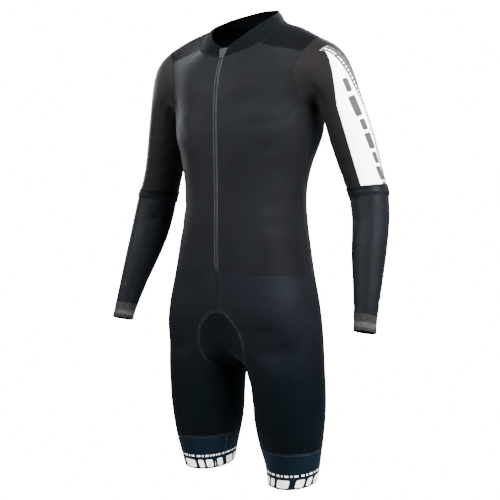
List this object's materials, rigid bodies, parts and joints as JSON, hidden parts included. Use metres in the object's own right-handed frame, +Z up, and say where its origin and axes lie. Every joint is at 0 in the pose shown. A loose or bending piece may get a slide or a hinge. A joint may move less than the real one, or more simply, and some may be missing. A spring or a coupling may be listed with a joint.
{
  "type": "cycling skinsuit",
  "caption": "Long-sleeved one-piece cycling suit with a front zip, low collar, lapped forearms, knit cuffs, seat pad and banded thigh hems, shown worn and filled out.",
  "frame": {"origin": "inside the neck, between the shoulders of the wearer at the height of the neck's base, where the worn suit hangs from its shoulders", "axes": "+Z up along the wearer's body, -Y out of the chest and the zip, +X towards the wearer's left arm"},
  "size_m": [0.6774, 0.2425, 1.0142],
  "materials": {
    "body_cloth": "smooth stretch knit with a soft sheen",
    "yoke_cloth": "smooth stretch knit with a soft sheen",
    "collar_cloth": "doubled stretch knit, matt",
    "zip": "woven tape with a fine coil",
    "garage_cloth": "soft pale knit",
    "thread": "dense bar-tack thread",
    "sleeve_cloth": "fine smooth knit with a satin sheen",
    "white_cloth": "fine smooth knit, printed",
    "forearm_cloth": "smooth coated stretch knit with a cool sheen",
    "cuff_knit": "melange rib knit, matt",
    "shorts_cloth": "dense stretch knit with a soft sheen",
    "pad_cloth": "padded brushed knit, matt",
    "band_cloth": "elastic band, printed"
  },
  "bodies": {
    "root": {"front_left": "body_cloth", "front_right": "body_cloth", "back": "body_cloth", "yoke_left": "yoke_cloth", "yoke_right": "yoke_cloth", "collar": "collar_cloth", "zip_strip": "zip", "zip_garage": "garage_cloth", "zip_end_tack": "thread", "sleeve_left": "sleeve_cloth", "sleeve_right": "sleeve_cloth", "sleeve_panel_left": "white_cloth", "forearm_left": "forearm_cloth", "forearm_right": "forearm_cloth", "cuff_left": "cuff_knit", "cuff_right": "cuff_knit", "shorts_left": "shorts_cloth", "shorts_right": "shorts_cloth", "seat_pad": "pad_cloth", "hem_band_left": "band_cloth", "hem_band_right": "band_cloth"}
  },
  "joints": []
}
